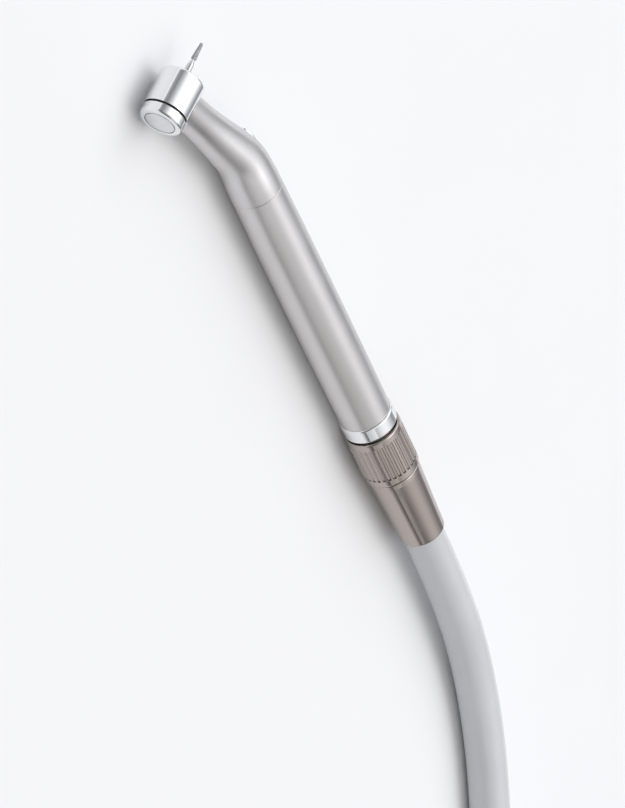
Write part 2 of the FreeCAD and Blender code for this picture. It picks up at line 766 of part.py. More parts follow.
def coil_tie():
    """The straps round the hank's two long sides."""
    height = 2 * HOSE_RADIUS * HANK_TURNS
    width = 2 * HOSE_RADIUS
    straps = []
    for side_y in (HANK_OUTER_Y, HANK_OUTER_Y - 2 * HANK_LOOP_RADIUS):
        low = Vector(TIE_PLACE_X, side_y - width / 2 - TIE_THICKNESS, 0)
        outer = Part.makeBox(TIE_WIDTH, width + 2 * TIE_THICKNESS, height + TIE_THICKNESS, low)
        inside = low + Vector(0, TIE_THICKNESS, TIE_THICKNESS)
        hole = Part.makeBox(TIE_WIDTH, width, height - TIE_THICKNESS, inside)
        straps.append(outer.cut(hole))
    return Part.makeCompound(straps)


def far_frame():
    """The far end's own frame: on the hank's outer side, pointing away from the handpiece."""
    height = 2 * HOSE_RADIUS * HANK_TURNS + FAR_END_RADIUS
    return Placement(Vector(FAR_END_X, HANK_OUTER_Y, height), Rotation(Vector(0, 1, 0), -90))


def far_ferrule():
    """The crimped sleeve on the hose's far end."""
    body = ring(HOSE_RADIUS, FERRULE_RADIUS, 0, FERRULE_LENGTH)
    return placed(rounded(body, FERRULE_EDGE_ROUND, [(FERRULE_RADIUS, 0)]), far_frame())


def far_connector():
    """The far coupling: a round body and a narrower spigot with a ring groove and four ports."""
    end = FERRULE_LENGTH + CONNECTOR_LENGTH
    low = end - SPIGOT_LENGTH / 2 - SPIGOT_GROOVE_WIDTH / 2
    high = low + SPIGOT_GROOVE_WIDTH
    floor = SPIGOT_RADIUS - SPIGOT_GROOVE_DEPTH
    body = turned([
        (0, FERRULE_LENGTH),
        (FAR_END_RADIUS, FERRULE_LENGTH),
        (FAR_END_RADIUS, end - SPIGOT_LENGTH),
        (SPIGOT_RADIUS, end - SPIGOT_LENGTH),
        (SPIGOT_RADIUS, low),
        (floor, low),
        (floor, high),
        (SPIGOT_RADIUS, high),
        (SPIGOT_RADIUS, end),
        (0, end),
    ])
    for x, y, radius in PORTS.values():
        body = body.cut(rod(radius, end - SPIGOT_LENGTH, end, x, y))
    return placed(body, far_frame())


def far_o_ring():
    """The seal on the far spigot."""
    height = FERRULE_LENGTH + CONNECTOR_LENGTH - SPIGOT_LENGTH / 2
    middle_radius = SPIGOT_RADIUS - SPIGOT_RING_SINK
    return placed(seal_ring(middle_radius, SPIGOT_RING_THICKNESS, height), far_frame())


NODES = {
    "head_housing": head_housing,
    "head_cap": head_cap,
    "cap_o_ring": cap_o_ring,
    "push_button": push_button,
    "button_retainer": button_retainer,
    "button_spring": button_spring,
    "spray_ring": spray_ring,
    "rotor_spindle": rotor_spindle,
    "impeller": impeller,
    "chuck": chuck,
    "chuck_plunger": chuck_plunger,
    "wave_washer": wave_washer,
    "bur_shank": bur_shank,
    "bur_cutting_head": bur_cutting_head,
    "neck_shell": neck_shell,
    "bend_plate": bend_plate,
    "handle_sleeve": handle_sleeve,
    "rear_collar": rear_collar,
    "drive_air_tube": drive_air_tube,
    "water_tube": water_tube,
    "chip_air_tube": chip_air_tube,
    "back_end_body": back_end_body,
    "handle_o_ring": handle_o_ring,
    "port_pipes": port_pipes,
    "connector_gasket": connector_gasket,
    "hose_terminal": hose_terminal,
    "hose_nut": hose_nut,
    "hose_tail": hose_tail,
    "hose_tube": hose_tube,
    "hose_coil": hose_coil,
    "coil_tie": coil_tie,
    "far_ferrule": far_ferrule,
    "far_connector": far_connector,
    "far_o_ring": far_o_ring,
}
BEARINGS = {"front_bearing": FRONT_BEARING, "rear_bearing": REAR_BEARING}
BEARING_PIECES = {"inner_race": inner_race, "outer_race": outer_race, "balls": balls, "cage": cage,
                  "o_ring": bearing_o_ring}


def build():
    """Every node's shape, by name."""
    shapes = {name: make() for name, make in NODES.items()}
    for bearing, span in BEARINGS.items():
        for piece, make in BEARING_PIECES.items():
            shapes[f"{bearing}_{piece}"] = make(span)
    return shapes


os.makedirs("parts", exist_ok=True)
SHAPES = build()
for name, shape in SHAPES.items():
    shape.exportStep(f"parts/{name}.step")
    solids = len(shape.Solids)
    print(f"{name:28s} solids {solids:3d}  valid {shape.isValid()}  volume {shape.Volume:10.2f}")
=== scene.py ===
"""A high speed dental handpiece on a pale table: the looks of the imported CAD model.

Metres, in the model's own frame: +X runs forward along the handle, the bur points to -Y and the
push button to +Y, and the table is z = 0.
"""
import json
import math
import random

import bmesh
import bpy
from mathutils import Matrix, Vector


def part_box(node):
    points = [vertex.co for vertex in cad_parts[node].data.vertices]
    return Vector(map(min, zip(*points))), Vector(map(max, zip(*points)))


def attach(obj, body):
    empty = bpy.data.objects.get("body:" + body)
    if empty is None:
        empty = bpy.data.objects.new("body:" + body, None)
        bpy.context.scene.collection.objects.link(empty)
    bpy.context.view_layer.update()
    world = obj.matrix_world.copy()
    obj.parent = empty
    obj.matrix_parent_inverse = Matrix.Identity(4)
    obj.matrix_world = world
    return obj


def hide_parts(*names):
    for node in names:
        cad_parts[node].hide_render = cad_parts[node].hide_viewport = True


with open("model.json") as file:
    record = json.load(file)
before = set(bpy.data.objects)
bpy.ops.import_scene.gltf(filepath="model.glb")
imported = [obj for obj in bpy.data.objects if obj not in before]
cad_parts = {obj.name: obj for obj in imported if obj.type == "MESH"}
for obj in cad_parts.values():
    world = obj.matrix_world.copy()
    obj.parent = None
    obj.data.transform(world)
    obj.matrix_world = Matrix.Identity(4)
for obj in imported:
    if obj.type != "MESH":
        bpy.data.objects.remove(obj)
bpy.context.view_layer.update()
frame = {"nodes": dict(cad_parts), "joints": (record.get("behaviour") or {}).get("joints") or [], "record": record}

NODES = frame["nodes"]
JOINTS = {joint["name"]: joint for joint in frame["joints"]}
HEAD_CENTRE = Vector(JOINTS["rotor_spin"]["pos_m"])
HEAD_AXIS = Vector(JOINTS["rotor_spin"]["axis"]).normalized()
UP = Vector((0, 0, 1))

# Camera: the direction from the handpiece to it, the picture's upright, and what it takes in
TO_CAMERA = Vector((0.621, 0.523, 0.5835)).normalized()
PICTURE_UP = Vector((0.704, -0.700, -0.122)).normalized()
CAMERA_DISTANCE = 3.0
PICTURE_HEIGHT = 0.19
SENSOR_SIZE = 36.0
CAMERA_CLIP = (0.05, 100)
AIM_UP = -0.023
AIM_RIGHT = 0.010

# The hose: how finely it is drawn, how far in front of the ferrule it is straight, and its route from
# the terminal to the hank, as in the CAD model
HANDLE_AXIS_Y = -0.005961
AXIS_HEIGHT = 0.007
HOSE_RADIUS = 0.005
HOSE_STEPS = 12
HOSE_ROUNDNESS = 10
FERRULE_LEAD = 0.004
HOSE_ROUTE = [
    (-0.07422, HANDLE_AXIS_Y, AXIS_HEIGHT),
    (-0.103, HANDLE_AXIS_Y, AXIS_HEIGHT),
    (-0.133, -0.0007, 0.0054),
    (-0.161, 0.0125, 0.005),
    (-0.187, 0.031, 0.005),
    (-0.212, 0.046, 0.005),
    (-0.238, 0.053, 0.005),
    (-0.264, 0.0536, 0.005),
]

# The hank: long loops on top of each other, each a little shorter than the one below
HANK_NEAR_X = -0.250
HANK_FAR_X = -0.370
HANK_OUTER_Y = 0.0536
HANK_RADIUS = 0.030
HANK_TURNS = 3
HANK_SHRINK = 0.0016
RUN_LEAD = 0.03
RUN_POINTS = 3
BEND_POINTS = 6
LAYER = 2 * HOSE_RADIUS

# Straps round the hank
STRAP_THICKNESS = 0.0012
STRAP_WAVE = 0.00012
STRAP_SAG = 0.0006
STRAP_HEM = 0.8
STRAP_COLUMNS = 8
STRAP_ARC_STEPS = 10
STRAP_SIDE_ROWS = 12
STRAP_LAP_ROWS = 4

# Light: each soft box's place, width, height and power, and the key's colour. Then the sky's grey by
# height, and its strength and tint on the bur's side and on the button's
LIGHTS = (
    ("overhead", (-0.15, -0.25, 1.9), 1.5, 1.1, 8.6),
    ("key", (0.5, -1.6, 1.2), 2.0, 1.3, 7.2),
    ("fill", (-0.9, 1.4, 1.0), 1.2, 1.2, 2.2),
)
KEY_COLOUR = (0.90, 0.93, 1.0)
SKY = ((0.0, 0.86), (0.05, 0.78), (0.14, 0.30), (0.36, 0.20), (0.60, 0.46), (0.80, 0.90), (1.0, 1.0))
SKY_SIDES = (1.85, 0.62)
SKY_TINTS = ((0.95, 0.965, 1.0), (1.0, 0.985, 0.975))

# Diamond grit on the bur: its bed lies inside the CAD's outline, and the grains stand out of it
GRIT_BED_INSET = 0.00006
GRIT_BED_WAVE = (-0.00002, 0.00001)
GRIT_TIP_SHARE = 0.6
GRIT_NECK_RADIUS = 0.0004
GRIT_ROWS = 40
GRIT_TIP_ROWS = 10
GRIT_SEGMENTS = 72
GRIT_GRAINS = 1500
GRIT_SIZES = (0.000035, 0.000075)
GRIT_WIDTHS = (0.7, 1.0)
GRIT_DEPTHS = (0.6, 1.0)
GRIT_SEED = 7

# Half the side of the table top
TABLE_REACH = 30

# Sockets of the range node by name, and of the colour mix by number, since its names repeat
RANGE_SOCKETS = ("From Min", "From Max", "To Min", "To Max")
MIX_COLOURS = (6, 7)
MIX_RESULT = 2

# A wave texture's scale times the pitch of its waves
WAVE_SCALE = 2 * math.pi / 20


# Node helpers
class Shading:
    """A material and its node tree, with short ways to add what the materials here share."""

    def __init__(self, name, colour, metallic, roughness):
        self.material = bpy.data.materials.new(name)
        self.material.use_nodes = True
        self.tree = self.material.node_tree
        self.surface = self.tree.nodes["Principled BSDF"]
        self.set("Base Color", (*colour, 1))
        self.set("Metallic", metallic)
        self.set("Roughness", roughness)
        self.place = self.node("ShaderNodeTexCoord").outputs["Object"]
        self.normal = None

    def set(self, socket, value):
        """Sets one of the surface's own sockets."""
        self.surface.inputs[socket].default_value = value

    def colour(self, source):
        """Takes the surface's colour from a socket."""
        self.link(source, self.surface.inputs["Base Color"])

    def roughen(self, source):
        """Takes the surface's roughness from a socket."""
        self.link(source, self.surface.inputs["Roughness"])

    def node(self, kind, **settings):
        """A new node with its settings."""
        made = self.tree.nodes.new(kind)
        for name, value in settings.items():
            setattr(made, name, value)
        return made

    def link(self, source, target):
        """Joins two sockets."""
        self.tree.links.new(source, target)

    def stretched(self, scale, origin=(0, 0, 0), turn=Matrix.Identity(3)):
        """Coordinates stretched by a scale, in a frame whose origin and turn are given."""
        mapping = self.node("ShaderNodeMapping", vector_type="POINT")
        inverse = turn.inverted()
        mapping.inputs["Rotation"].default_value = inverse.to_euler("XYZ")
        mapping.inputs["Location"].default_value = -(inverse @ Vector(origin))
        self.link(self.place, mapping.inputs["Vector"])
        scaled = self.node("ShaderNodeVectorMath", operation="MULTIPLY")
        scaled.inputs[1].default_value = scale
        self.link(mapping.outputs["Vector"], scaled.inputs[0])
        return scaled.outputs["Vector"]

    def noise(self, size, detail=3.0, roughness=0.5, place=None):
        """Noise whose blobs are about size metres, or about 1 where a place is given."""
        texture = self.node("ShaderNodeTexNoise")
        texture.inputs["Scale"].default_value = 1.0 if place else 1 / size
        texture.inputs["Detail"].default_value = detail
        texture.inputs["Roughness"].default_value = roughness
        self.link(place or self.place, texture.inputs["Vector"])
        return texture.outputs["Fac"]

    def cells(self, size, output="Distance"):
        """Cells about size metres across: the distance to each one's middle, or its own random colour."""
        texture = self.node("ShaderNodeTexVoronoi", feature="F1")
        texture.inputs["Scale"].default_value = 1 / size
        self.link(self.place, texture.inputs["Vector"])
        return texture.outputs[output]

    def spread(self, value, low, high, to_low, to_high):
        """A value remapped from low..high to to_low..to_high, held within them."""
        ranged = self.node("ShaderNodeMapRange", clamp=True)
        for socket, number in zip(RANGE_SOCKETS, (low, high, to_low, to_high)):
            ranged.inputs[socket].default_value = number
        self.link(value, ranged.inputs["Value"])
        return ranged.outputs["Result"]

    def combined(self, operation, first, second):
        """Two values joined by a sum, product or other operation."""
        maths = self.node("ShaderNodeMath", operation=operation)
        for socket, value in zip(maths.inputs, (first, second)):
            if isinstance(value, (int, float)):
                socket.default_value = value
            else:
                self.link(value, socket)
        return maths.outputs["Value"]

    def blended(self, share, first, second):
        """Two colours mixed by a share that varies over the surface."""
        mix = self.node("ShaderNodeMix", data_type="RGBA")
        self.link(share, mix.inputs["Factor"])
        for number, colour in zip(MIX_COLOURS, (first, second)):
            if isinstance(colour, tuple):
                mix.inputs[number].default_value = (*colour, 1)
            else:
                self.link(colour, mix.inputs[number])
        return mix.outputs[MIX_RESULT]

    def soft_edges(self, radius):
        """Rounds the sharp edges that light catches."""
        bevel = self.node("ShaderNodeBevel", samples=6)
        bevel.inputs["Radius"].default_value = radius
        self.normal = bevel.outputs["Normal"]
        self.link(self.normal, self.surface.inputs["Normal"])

    def bump(self, height, depth):
        """Adds relief of a real depth in metres on top of what is there."""
        relief = self.node("ShaderNodeBump")
        relief.inputs["Distance"].default_value = depth
        relief.inputs["Strength"].default_value = 1.0
        self.link(height, relief.inputs["Height"])
        if self.normal:
            self.link(self.normal, relief.inputs["Normal"])
        self.normal = relief.outputs["Normal"]
        self.link(self.normal, self.surface.inputs["Normal"])

    def crevices(self, reach):
        """Ambient occlusion, used to paint shade into colour: 1 in the open and less in grooves and corners."""
        shade = self.node("ShaderNodeAmbientOcclusion", samples=8)
        shade.inputs["Distance"].default_value = reach
        return shade.outputs["AO"]


def head_turn():
    """The head's own directions, with +Z towards the bur's tip."""
    across = UP.cross(HEAD_AXIS).normalized()
    return Matrix((across, HEAD_AXIS.cross(across), HEAD_AXIS)).transposed()


# Materials
def polished_chrome(name="polished chrome", tint=(0.83, 0.84, 0.855), roughness=0.07):
    """Bright plate with a faint ripple, fine wiping scratches, a film that dulls it in patches, and painted shade
    in its crevices.
    """
    made = Shading(name, tint, 1.0, roughness)
    film = made.noise(0.006, 5.0, 0.62)
    scratch_place = made.stretched((900, 5200, 5200), turn=Matrix.Rotation(0.5, 3, "Z"))
    scratches = made.noise(1, 2.0, 0.5, scratch_place)
    grooves = made.spread(scratches, 0.60, 0.72, 0.0, 1.0)
    dull = made.spread(film, 0.35, 0.75, roughness * 0.7, roughness * 1.9)
    rough = made.combined("ADD", dull, made.combined("MULTIPLY", grooves, 0.05))
    made.roughen(rough)
    # Painted shade: where the surface is occluded, in grooves and corners, the colour darkens to 0.45 of the tint
    painted_crevice_shade = made.spread(made.crevices(0.0009), 0.1, 0.7, 0.0, 1.0)
    dark = tuple(0.45 * channel for channel in tint)
    made.colour(made.blended(painted_crevice_shade, dark, tint))
    made.soft_edges(0.00012)
    made.bump(made.noise(0.0022, 1.0), 0.0000016)
    made.bump(grooves, -0.0000004)
    return made.material


def turned_steel(name, tint, roughness, ring_pitch):
    """Steel faced on a lathe, with fine rings about the head's axis."""
    made = Shading(name, tint, 1.0, roughness)
    place = made.stretched((1, 1, 1), HEAD_CENTRE, head_turn())
    rings = made.node("ShaderNodeTexWave", wave_type="RINGS", rings_direction="Z")
    rings.inputs["Scale"].default_value = WAVE_SCALE / ring_pitch
    rings.inputs["Distortion"].default_value = 0.6
    rings.inputs["Detail"].default_value = 1.0
    made.link(place, rings.inputs["Vector"])
    film = made.noise(0.003, 4.0, 0.6)
    rough = made.spread(film, 0.3, 0.75, roughness * 0.8, roughness * 1.6)
    made.roughen(rough)
    made.soft_edges(0.0001)
    made.bump(rings.outputs["Fac"], 0.000006)
    return made.material


def satin_nickel():
    """Bead-blasted and plated: a fine grain, faint rings left by turning, light handling marks, and painted shade
    in its grooves and corners.
    """
    made = Shading("satin nickel", (0.64, 0.63, 0.63), 1.0, 0.33)
    grain = made.noise(0.00022, 4.0, 0.65)
    handling = made.noise(0.011, 3.0, 0.5)
    turning = made.noise(1, 3.0, 0.6, made.stretched((6500, 60, 60)))
    rub_place = made.stretched((120, 2600, 2600), turn=Matrix.Rotation(0.35, 3, "Z"))
    rubs = made.spread(made.noise(1, 2.0, 0.5, rub_place), 0.66, 0.76, 0.0, 1.0)
    rough = made.spread(handling, 0.3, 0.7, 0.30, 0.38)
    rough = made.combined("ADD", rough, made.spread(grain, 0.3, 0.7, -0.03, 0.04))
    rough = made.combined("SUBTRACT", rough, made.combined("MULTIPLY", rubs, 0.03))
    made.roughen(rough)
    tone = made.spread(made.noise(0.025, 2.0, 0.5), 0.3, 0.7, 0.0, 1.0)
    unshaded_colour = made.blended(tone, (0.625, 0.610, 0.605), (0.66, 0.65, 0.65))
    # Painted shade: where the surface is occluded, in grooves, seams and corners, the colour falls to a dark
    # brown-grey
    unshaded_share = made.spread(made.crevices(0.0006), 0.1, 0.6, 0.0, 1.0)
    made.colour(made.blended(unshaded_share, (0.30, 0.28, 0.27), unshaded_colour))
    made.soft_edges(0.0001)
    made.bump(grain, 0.0000028)
    made.bump(turning, 0.0000012)
    return made.material


def ground_steel(name="ground steel", tint=(0.66, 0.66, 0.65), roughness=0.2):
    """Bearing steel with fine grinding lines."""
    made = Shading(name, tint, 1.0, roughness)
    lines = made.noise(1, 3.0, 0.6, made.stretched((400, 400, 9000), HEAD_CENTRE, head_turn()))
    rough = made.spread(lines, 0.3, 0.7, roughness * 0.7, roughness * 1.5)
    made.roughen(rough)
    tone = made.spread(made.noise(0.004), 0.3, 0.7, 0.0, 1.0)
    darker = tuple(0.86 * channel for channel in tint)
    made.colour(made.blended(tone, darker, tint))
    made.soft_edges(0.00005)
    made.bump(lines, 0.000001)
    return made.material


def drawn_tube():
    """Steel tube with lines along its length."""
    made = Shading("drawn tube", (0.62, 0.62, 0.61), 1.0, 0.28)
    lines = made.noise(1, 3.0, 0.6, made.stretched((150, 5000, 5000)))
    made.roughen(made.spread(lines, 0.3, 0.7, 0.2, 0.4))
    made.colour(made.blended(lines, (0.5, 0.5, 0.49), (0.7, 0.7, 0.69)))
    made.bump(lines, 0.000002)
    return made.material


def plated_brass():
    """Nickel-plated brass, worn through to yellow in patches."""
    made = Shading("plated brass", (0.72, 0.70, 0.64), 1.0, 0.26)
    patches = made.noise(0.0016, 4.0, 0.6)
    worn = made.spread(patches, 0.55, 0.7, 0.0, 0.7)
    made.colour(made.blended(worn, (0.70, 0.68, 0.63), (0.78, 0.58, 0.27)))
    made.roughen(made.spread(patches, 0.3, 0.7, 0.2, 0.36))
    made.soft_edges(0.0001)
    made.bump(made.noise(0.0004, 3.0), 0.000003)
    return made.material


def machined_aluminium():
    """The turbine wheel's milled surface."""
    made = Shading("machined aluminium", (0.74, 0.75, 0.77), 1.0, 0.3)
    marks = made.noise(1, 2.0, 0.5, made.stretched((2500, 2500, 300), HEAD_CENTRE, head_turn()))
    made.roughen(made.spread(marks, 0.3, 0.7, 0.22, 0.42))
    made.colour(made.blended(marks, (0.66, 0.67, 0.69), (0.79, 0.80, 0.82)))
    made.soft_edges(0.00008)
    made.bump(marks, 0.000003)
    return made.material


def cage_resin():
    """Brown cloth-filled resin."""
    made = Shading("cage resin", (0.40, 0.24, 0.13), 0.0, 0.55)
    cloth = made.noise(0.00025, 3.0, 0.6)
    made.colour(made.blended(cloth, (0.30, 0.17, 0.09), (0.48, 0.30, 0.17)))
    made.roughen(made.spread(cloth, 0.3, 0.7, 0.45, 0.65))
    made.bump(cloth, 0.000008)
    return made.material


def black_rubber():
    """Moulded rubber with a slight bloom."""
    made = Shading("black rubber", (0.022, 0.022, 0.024), 0.0, 0.5)
    bloom = made.noise(0.0012, 4.0, 0.6)
    made.colour(made.blended(bloom, (0.014, 0.014, 0.015), (0.045, 0.045, 0.047)))
    made.roughen(made.spread(bloom, 0.3, 0.7, 0.38, 0.62))
    made.bump(made.noise(0.00015, 2.0), 0.000004)
    return made.material


def diamond_grit():
    """Nickel bond with crystals in it: dark bed, bright grains."""
    made = Shading("diamond grit", (0.42, 0.42, 0.42), 0.75, 0.4)
    grains = made.cells(0.00009, output="Color")
    share = made.spread(grains, 0.2, 0.8, 0.0, 1.0)
    made.colour(made.blended(share, (0.24, 0.24, 0.245), (0.66, 0.66, 0.67)))
    made.roughen(made.spread(made.noise(0.00006), 0.3, 0.7, 0.2, 0.6))
    made.bump(made.cells(0.00006), 0.00001)
    return made.material


def hose_silicone():
    """Smooth silver-grey silicone tubing: slightly uneven in tone, with faint extrusion ripple and dust."""
    made = Shading("silicone hose", (0.58, 0.595, 0.61), 0.0, 0.32)
    made.set("Coat Weight", 0.35)
    made.set("Coat Roughness", 0.16)
    made.set("Subsurface Weight", 0.08)
    made.set("Subsurface Radius", (0.8, 0.8, 0.9))
    made.set("Subsurface Scale", 0.0015)
    made.set("Specular IOR Level", 0.55)
    clouds = made.noise(0.018, 4.0, 0.55)
    fine = made.noise(0.0007, 3.0, 0.6)
    large = made.spread(clouds, 0.3, 0.7, 0.0, 0.8)
    tone = made.combined("ADD", large, made.spread(fine, 0.3, 0.7, 0.0, 0.2))
    made.colour(made.blended(tone, (0.555, 0.572, 0.59), (0.61, 0.622, 0.635)))
    patches = made.spread(clouds, 0.3, 0.7, 0.28, 0.36)
    rough = made.combined("ADD", patches, made.spread(fine, 0.3, 0.7, -0.015, 0.015))
    made.roughen(rough)
    made.bump(made.noise(0.006, 2.0), 0.00004)
    return made.material


def woven_strap():
    """A woven strap: over-and-under threads at 0.45 mm, with a little fuzz."""
    made = Shading("woven strap", (0.05, 0.055, 0.065), 0.0, 0.85)
    made.set("Sheen Weight", 0.25)
    made.set("Sheen Roughness", 0.5)
    thread = 0.00045
    weave = []
    for direction in ("X", "DIAGONAL"):
        wave = made.node("ShaderNodeTexWave", wave_type="BANDS", bands_direction=direction)
        wave.inputs["Scale"].default_value = WAVE_SCALE / thread
        wave.inputs["Distortion"].default_value = 0.4
        wave.inputs["Detail"].default_value = 1.0
        made.link(made.place, wave.inputs["Vector"])
        weave.append(wave.outputs["Fac"])
    threads = made.combined("MULTIPLY", *weave)
    fuzz = made.noise(0.0003, 4.0, 0.7)
    woven = made.combined("MULTIPLY", threads, 0.7)
    tone = made.combined("ADD", woven, made.combined("MULTIPLY", fuzz, 0.3))
    made.colour(made.blended(tone, (0.022, 0.025, 0.032), (0.11, 0.12, 0.14)))
    made.roughen(made.spread(fuzz, 0.3, 0.7, 0.75, 0.95))
    made.bump(threads, 0.00012)
    made.bump(fuzz, 0.00003)
    return made.material


def table_top():
    """A pale matt laminate."""
    made = Shading("table top", (0.86, 0.86, 0.865), 0.0, 0.6)
    cloud = made.noise(0.06, 3.0, 0.5)
    made.colour(made.blended(cloud, (0.85, 0.85, 0.856), (0.875, 0.875, 0.88)))
    made.roughen(made.spread(cloud, 0.3, 0.7, 0.55, 0.65))
    return made.material


# Making meshes
def linked(name, data):
    """A new object in the scene."""
    made = bpy.data.objects.new(name, data)
    bpy.context.scene.collection.objects.link(made)
    return made


def smooth(share):
    """Eases from 0 to 1."""
    share = min(max(share, 0.0), 1.0)
    return share * share * (3 - 2 * share)


def lathe(bm, outline, segments, frame_matrix):
    """A closed surface of revolution from (radius, height) points, the first and last on the axis."""
    rings = []
    for radius, height in outline:
        if radius == 0:
            rings.append([bm.verts.new(frame_matrix @ Vector((0, 0, height)))])
            continue
        ring = []
        for number in range(segments):
            angle = 2 * math.pi * number / segments
            point = Vector((radius * math.cos(angle), radius * math.sin(angle), height))
            ring.append(bm.verts.new(frame_matrix @ point))
        rings.append(ring)
    for low, high in zip(rings, rings[1:]):
        for number in range(segments):
            after = (number + 1) % segments
            below = [low[place % len(low)] for place in (number, after)]
            above = [high[place % len(high)] for place in (after, number)]
            bm.faces.new(dict.fromkeys(below + above))
    bmesh.ops.recalc_face_normals(bm, faces=bm.faces)


def mesh_piece(name, bm, material, flat=False):
    """Turns mesh data into a smooth-shaded object."""
    data = bpy.data.meshes.new(name)
    bm.to_mesh(data)
    bm.free()
    data.materials.append(material)
    for face in data.polygons:
        face.use_smooth = not flat
    return linked(name, data)


def grit_outline():
    """The bur's cutting end as (radius, height) points: a taper with a round tip."""
    offsets = [vertex.co - HEAD_CENTRE for vertex in NODES["bur_cutting_head"].data.vertices]
    heights = [offset.dot(HEAD_AXIS) for offset in offsets]
    radii = [(offset - HEAD_AXIS * height).length for offset, height in zip(offsets, heights)]
    low, high, widest = min(heights), max(heights), max(radii)
    shoulder = heights[radii.index(widest)]
    tip_radius = GRIT_TIP_SHARE * widest
    tip_centre = high - tip_radius
    outline = [(0, low), (GRIT_NECK_RADIUS, low)]
    for number in range(GRIT_ROWS + 1):
        share = number / GRIT_ROWS
        radius = widest + (tip_radius - widest) * share - GRIT_BED_INSET
        outline.append((radius, shoulder + (tip_centre - shoulder) * share))
    reach = tip_radius - GRIT_BED_INSET
    for number in range(1, GRIT_TIP_ROWS):
        angle = math.pi / 2 * number / GRIT_TIP_ROWS
        outline.append((reach * math.cos(angle), tip_centre + reach * math.sin(angle)))
    outline.append((0, tip_centre + reach))
    return outline


def make_grit(material):
    """The bur's cutting end: a rough nickel bed with separate diamond grains set in it."""
    place = Matrix.Translation(HEAD_CENTRE) @ head_turn().to_4x4()
    outline = grit_outline()
    bm = bmesh.new()
    lathe(bm, outline, GRIT_SEGMENTS, place)
    draw = random.Random(GRIT_SEED)
    for vertex in bm.verts:
        offset = vertex.co - HEAD_CENTRE
        outward = offset - HEAD_AXIS * offset.dot(HEAD_AXIS)
        if outward.length > GRIT_BED_INSET:
            vertex.co += outward.normalized() * draw.uniform(*GRIT_BED_WAVE)
    skin = outline[2:-1]
    weights = [radius for radius, _ in skin]
    top = outline[-1][1] + GRIT_BED_INSET
    for _ in range(GRIT_GRAINS):
        radius, height = draw.choices(skin, weights)[0]
        height += draw.uniform(-GRIT_BED_INSET, GRIT_BED_INSET)
        angle = draw.uniform(0, 2 * math.pi)
        size = draw.uniform(*GRIT_SIZES)
        centre = Vector((radius * math.cos(angle), radius * math.sin(angle), min(height, top - 2 * size)))
        tilt = Vector((draw.random(), draw.random(), draw.random() + 0.1))
        spin = Matrix.Rotation(draw.uniform(0, math.pi), 4, tilt)
        width = size * draw.uniform(*GRIT_WIDTHS)
        depth = size * draw.uniform(*GRIT_DEPTHS)
        shape = Matrix.Diagonal((size, width, depth, 1))
        grain = place @ Matrix.Translation(centre) @ spin @ shape
        bmesh.ops.create_icosphere(bm, subdivisions=1, radius=1.0, matrix=grain)
    grit = mesh_piece("bur_grit", bm, material, flat=True)
    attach(grit, "bur")
    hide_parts("bur_cutting_head")


def strap_path(middle_y, top):
    """Points and outward directions, in (y, z), once round three hoses on top of each other."""
    upper = top - HOSE_RADIUS
    lower = HOSE_RADIUS + STRAP_THICKNESS
    path = []
    for centre, begin, side, finish in ((upper, 0.0, -1, lower), (lower, math.pi, 1, upper)):
        for number in range(STRAP_ARC_STEPS + 1):
            angle = begin + math.pi * number / STRAP_ARC_STEPS
            outward = Vector((math.cos(angle), math.sin(angle)))
            path.append((Vector((middle_y, centre)) + outward * HOSE_RADIUS, outward))
        for number in range(1, STRAP_SIDE_ROWS):
            share = number / STRAP_SIDE_ROWS
            sag = STRAP_SAG * math.sin((HANK_TURNS - 1) * math.pi * share) ** 2
            height = centre + (finish - centre) * share
            path.append((Vector((middle_y + side * (HOSE_RADIUS - sag), height)), Vector((side, 0))))
    return path


def strip(bm, first, second):
    """Four-sided faces between two rows of vertices."""
    for number in range(len(first) - 1):
        bm.faces.new((first[number], first[number + 1], second[number + 1], second[number]))


def band(bm, path, closed, draw):
    """A flat strap along a path, with thinner hems and slightly uneven threads."""
    low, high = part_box("coil_tie")
    inner, outer = [], []
    for point, outward in path:
        wave = draw.uniform(-STRAP_WAVE, 0)
        inner_row, outer_row = [], []
        for column in range(STRAP_COLUMNS + 1):
            x = low.x + (high.x - low.x) * column / STRAP_COLUMNS
            thickness = STRAP_THICKNESS * (STRAP_HEM if column in (0, STRAP_COLUMNS) else 1.0)
            shell = point + outward * (thickness + wave)
            inner_row.append(bm.verts.new((x, *point)))
            outer_row.append(bm.verts.new((x, *shell)))
        inner.append(inner_row)
        outer.append(outer_row)
    rows = len(path) if closed else len(path) - 1
    for row in range(rows):
        after = (row + 1) % len(path)
        for rim in (inner, outer):
            strip(bm, rim[row], rim[after])
        for column in (0, STRAP_COLUMNS):
            strip(bm, [inner[row][column], outer[row][column]], [inner[after][column], outer[after][column]])
    if not closed:
        for row in (0, -1):
            strip(bm, inner[row], outer[row])


def make_straps(material):
    """The two woven straps round the hank's long sides, each with its free end lapped over the top."""
    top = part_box("coil_tie")[1].z - STRAP_THICKNESS
    for number, middle_y in enumerate((HANK_OUTER_Y, HANK_OUTER_Y - 2 * HANK_RADIUS)):
        draw = random.Random(number)
        path = strap_path(middle_y, top)
        lap = path[-STRAP_LAP_ROWS:] + path[:STRAP_ARC_STEPS + STRAP_LAP_ROWS]
        lap = [(point + outward * STRAP_THICKNESS, outward) for point, outward in lap]
        bm = bmesh.new()
        band(bm, path, True, draw)
        band(bm, lap, False, draw)
        bmesh.ops.recalc_face_normals(bm, faces=bm.faces)
        strap = mesh_piece(f"strap_{number + 1}", bm, material)
        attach(strap, "handpiece")
        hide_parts("coil_tie")


